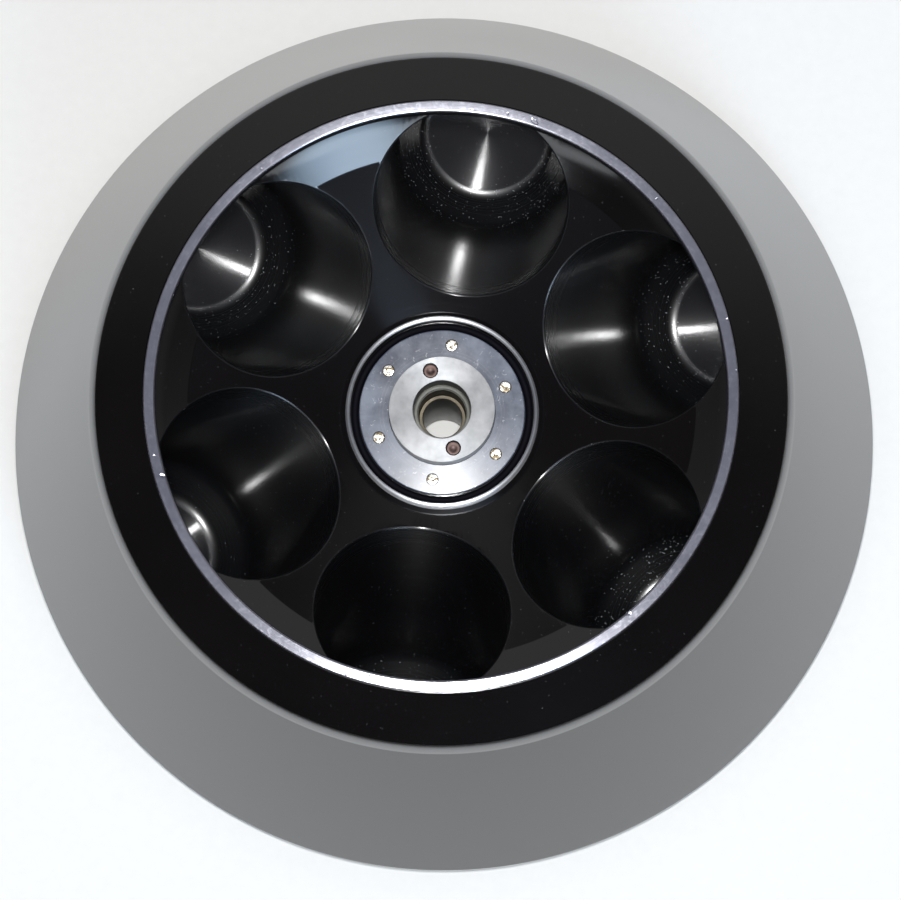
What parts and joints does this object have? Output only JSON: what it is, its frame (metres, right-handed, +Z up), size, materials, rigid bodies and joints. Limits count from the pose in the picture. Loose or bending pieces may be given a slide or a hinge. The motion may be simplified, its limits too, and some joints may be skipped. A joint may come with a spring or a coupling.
{
  "type": "fixed-angle centrifuge rotor",
  "caption": "Conical fixed-angle centrifuge rotor without its lid: slanted round bottle cavities around a bolted hub with a spindle bore.",
  "frame": {"origin": "on the spin axis, in the plane of the base lip that the rotor stands on", "axes": "+Z up along the spin axis, out of the open well; +Y through the middle of one cavity, +X between two cavities"},
  "size_m": [0.2916, 0.2916, 0.15],
  "materials": {
    "anodised_black": "satin hard-anodised, near black",
    "seat_bare": "fine turned bare metal with small dings",
    "collar_bright": "polished land",
    "plate_satin": "satin turned, lightly scuffed",
    "hub_steel": "fine turned steel, lightly stained",
    "adapter_steel": "turned steel",
    "pin_brown": "oxidised brown ends",
    "ring_spring_steel": "spring steel",
    "bush_bronze": "turned bronze",
    "rubber_black": "matt",
    "screw_plated": "plated, worn",
    "sensing_film": "dark ring with evenly spaced pale segments"
  },
  "bodies": {
    "root": {"rotor_body": "anodised_black", "lid_seat_ring": "seat_bare", "hub_collar": "collar_bright", "hub_o_ring": "rubber_black", "hub_plate": "plate_satin", "drive_hub": "hub_steel", "drive_pin_1": "pin_brown", "drive_pin_2": "pin_brown", "snap_ring": "ring_spring_steel", "bore_bush": "bush_bronze", "drive_adapter": "adapter_steel", "speed_disc": "sensing_film", "hub_screw_1": "screw_plated", "hub_screw_2": "screw_plated", "hub_screw_3": "screw_plated", "hub_screw_4": "screw_plated", "hub_screw_5": "screw_plated", "hub_screw_6": "screw_plated", "adapter_screw_1": "screw_plated", "adapter_screw_2": "screw_plated", "adapter_screw_3": "screw_plated", "adapter_screw_4": "screw_plated"}
  },
  "joints": []
}
